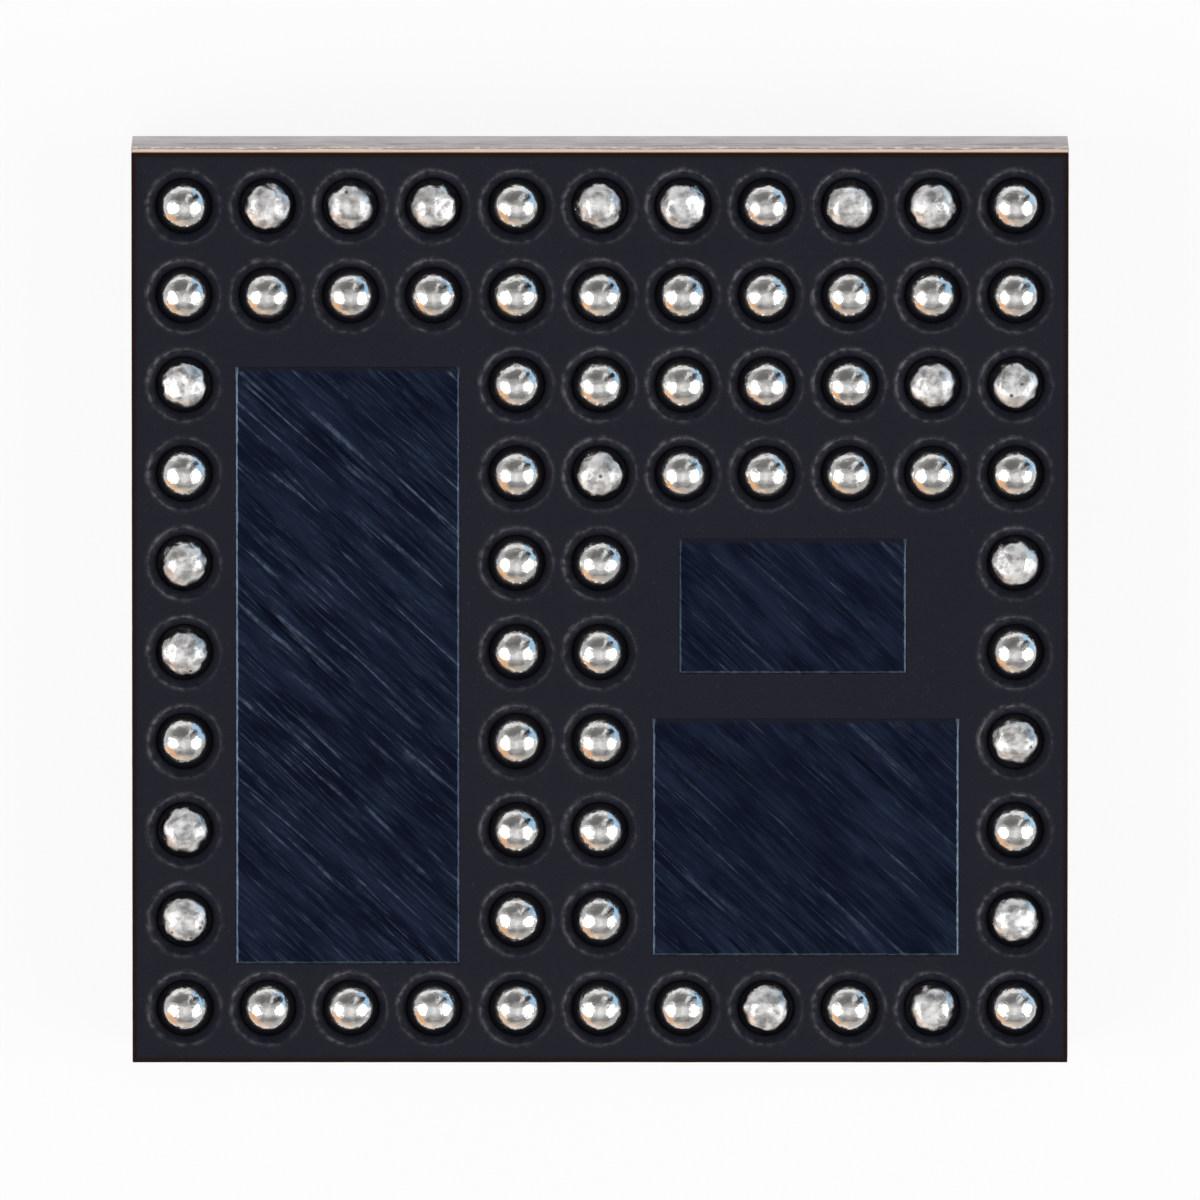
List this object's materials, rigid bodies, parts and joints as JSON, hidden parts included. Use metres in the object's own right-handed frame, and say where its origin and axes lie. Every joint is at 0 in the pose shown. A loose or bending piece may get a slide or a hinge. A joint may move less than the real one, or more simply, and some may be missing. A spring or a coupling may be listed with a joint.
{
  "type": "bga chip",
  "caption": "Shielded ball grid array module lying balls up: domed solder balls in bevelled holes of a black moulded face with exposed dies ground flush.",
  "frame": {"origin": "middle of the shielded face, which the chip lies on", "axes": "+X along the ball rows, +Y towards ball row a, +Z out of the ball side"},
  "size_m": [0.0056, 0.0056, 0.001],
  "materials": {
    "steel_skin": "fine-grained sputtered metal",
    "copper_skin": "thin bare copper",
    "mould": "black ground mould compound",
    "laminate": "glass fibre laminate",
    "ground_silicon": "ground silicon with diagonal scratches",
    "inner_silicon": "bare silicon",
    "ceramic": "fired ceramic",
    "wire": "drawn wire",
    "solder": "reflowed solder, scuffed in places"
  },
  "bodies": {
    "root": {"amplifier_die": "inner_silicon", "ball_row_a": "solder", "ball_row_b": "solder", "ball_row_c": "solder", "ball_row_d": "solder", "ball_row_e": "solder", "ball_row_f": "solder", "ball_row_g": "solder", "ball_row_h": "solder", "ball_row_j": "solder", "ball_row_k": "solder", "capacitors": "ceramic", "fence_wires": "wire", "filter_dies": "inner_silicon", "inductors": "ceramic", "long_die": "ground_silicon", "lower_mould": "mould", "shield_copper": "copper_skin", "shield_steel": "steel_skin", "small_die": "ground_silicon", "substrate": "laminate", "switch_die": "inner_silicon", "upper_mould": "mould", "wide_die": "ground_silicon"}
  },
  "joints": []
}
